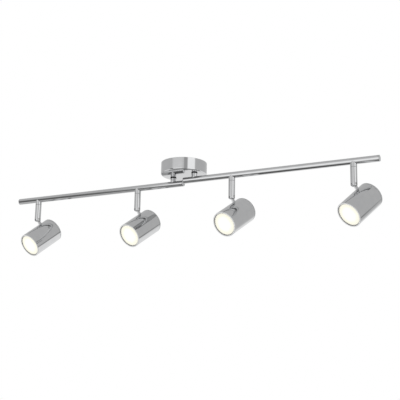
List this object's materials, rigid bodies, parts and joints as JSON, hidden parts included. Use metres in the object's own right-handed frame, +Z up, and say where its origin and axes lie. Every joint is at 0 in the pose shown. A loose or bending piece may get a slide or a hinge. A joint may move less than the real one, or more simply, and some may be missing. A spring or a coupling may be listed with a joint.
{
  "type": "ceiling spotlight bar",
  "caption": "Chrome ceiling spotlight: a round cup carries two offset tube bars end to end, with cylindrical lamp heads on short arms that turn and tilt.",
  "frame": {"origin": "centre of the ceiling face, on the top of the mounting strap", "axes": "+X along the bars, towards the nearer right-hand bar; +Z up into the ceiling; -Y towards the side the lamps point to"},
  "size_m": [0.882, 0.1185, 0.1764],
  "materials": {
    "polished_chrome": "polished chrome plate",
    "zinc_steel": "bright zinc-plated steel",
    "brass_screw": "turned brass",
    "black_nylon": "moulded black nylon",
    "white_plastic": "moulded white plastic",
    "white_ceramic": "unglazed white ceramic",
    "frosted_lens": "frosted warm white lens, lit"
  },
  "bodies": {
    "fixed_canopy": {"canopy_cup": "polished_chrome", "mounting_strap": "zinc_steel", "canopy_screw_left": "zinc_steel", "canopy_screw_right": "zinc_steel", "earth_screw": "brass_screw", "terminal_block": "white_plastic", "stem_washer_left": "black_nylon", "stem_washer_right": "black_nylon"},
    "bar_left": {"bar_tube_left": "polished_chrome", "bar_outer_cap_left": "polished_chrome", "bar_inner_cap_left": "polished_chrome", "stem_collar_left": "polished_chrome", "stem_bolt_left": "zinc_steel", "stem_nut_left": "zinc_steel", "arm_collar_1": "polished_chrome", "arm_bolt_1": "zinc_steel", "arm_collar_2": "polished_chrome", "arm_bolt_2": "zinc_steel"},
    "bar_right": {"bar_tube_right": "polished_chrome", "bar_outer_cap_right": "polished_chrome", "bar_inner_cap_right": "polished_chrome", "stem_collar_right": "polished_chrome", "stem_bolt_right": "zinc_steel", "stem_nut_right": "zinc_steel", "arm_collar_3": "polished_chrome", "arm_bolt_3": "zinc_steel", "arm_collar_4": "polished_chrome", "arm_bolt_4": "zinc_steel"},
    "swivel_arm_1": {"arm_1": "polished_chrome", "hinge_screw_1": "zinc_steel"},
    "lamp_head_1": {"head_can_1": "polished_chrome", "head_rear_cap_1": "polished_chrome", "hinge_lug_1": "polished_chrome", "lamp_body_1": "white_plastic", "lamp_lens_1": "frosted_lens", "lamp_holder_1": "white_ceramic"},
    "swivel_arm_2": {"arm_2": "polished_chrome", "hinge_screw_2": "zinc_steel"},
    "lamp_head_2": {"head_can_2": "polished_chrome", "head_rear_cap_2": "polished_chrome", "hinge_lug_2": "polished_chrome", "lamp_body_2": "white_plastic", "lamp_lens_2": "frosted_lens", "lamp_holder_2": "white_ceramic"},
    "swivel_arm_3": {"arm_3": "polished_chrome", "hinge_screw_3": "zinc_steel"},
    "lamp_head_3": {"head_can_3": "polished_chrome", "head_rear_cap_3": "polished_chrome", "hinge_lug_3": "polished_chrome", "lamp_body_3": "white_plastic", "lamp_lens_3": "frosted_lens", "lamp_holder_3": "white_ceramic"},
    "swivel_arm_4": {"arm_4": "polished_chrome", "hinge_screw_4": "zinc_steel"},
    "lamp_head_4": {"head_can_4": "polished_chrome", "head_rear_cap_4": "polished_chrome", "hinge_lug_4": "polished_chrome", "lamp_body_4": "white_plastic", "lamp_lens_4": "frosted_lens", "lamp_holder_4": "white_ceramic"}
  },
  "joints": [
    {"name": "bar_left_swivel", "type": "hinge", "parent": "fixed_canopy", "child": "bar_left", "pos_m": [-0.0305, 0.0094, -0.042], "axis": [0, 0, 1], "range_deg": [-90, 90]},
    {"name": "bar_right_swivel", "type": "hinge", "parent": "fixed_canopy", "child": "bar_right", "pos_m": [0.0305, -0.0094, -0.042], "axis": [0, 0, 1], "range_deg": [-90, 90]},
    {"name": "arm_1_pan", "type": "hinge", "parent": "bar_left", "child": "swivel_arm_1", "pos_m": [-0.3867, 0.0094, -0.055], "axis": [0, 0, 1], "range_deg": [-153.7, 196.3]},
    {"name": "head_1_tilt", "type": "hinge", "parent": "swivel_arm_1", "child": "lamp_head_1", "pos_m": [-0.3867, 0.0094, -0.0896], "axis": [0.9317, -0.3633, 0], "range_deg": [-83.3, 51.7]},
    {"name": "arm_2_pan", "type": "hinge", "parent": "bar_left", "child": "swivel_arm_2", "pos_m": [-0.1195, 0.0094, -0.055], "axis": [0, 0, 1], "range_deg": [-156.1, 193.9]},
    {"name": "head_2_tilt", "type": "hinge", "parent": "swivel_arm_2", "child": "lamp_head_2", "pos_m": [-0.1195, 0.0094, -0.0896], "axis": [0.9461, -0.3239, 0], "range_deg": [-80.5, 54.5]},
    {"name": "arm_3_pan", "type": "hinge", "parent": "bar_right", "child": "swivel_arm_3", "pos_m": [0.1195, -0.0094, -0.055], "axis": [0, 0, 1], "range_deg": [-157.7, 192.3]},
    {"name": "head_3_tilt", "type": "hinge", "parent": "swivel_arm_3", "child": "lamp_head_3", "pos_m": [0.1195, -0.0094, -0.0896], "axis": [0.9548, -0.2974, 0], "range_deg": [-79, 56]},
    {"name": "arm_4_pan", "type": "hinge", "parent": "bar_right", "child": "swivel_arm_4", "pos_m": [0.3867, -0.0094, -0.055], "axis": [0, 0, 1], "range_deg": [-143.5, 206.5]},
    {"name": "head_4_tilt", "type": "hinge", "parent": "swivel_arm_4", "child": "lamp_head_4", "pos_m": [0.3867, -0.0094, -0.0896], "axis": [0.8526, -0.5225, 0], "range_deg": [-85.6, 49.4]}
  ]
}
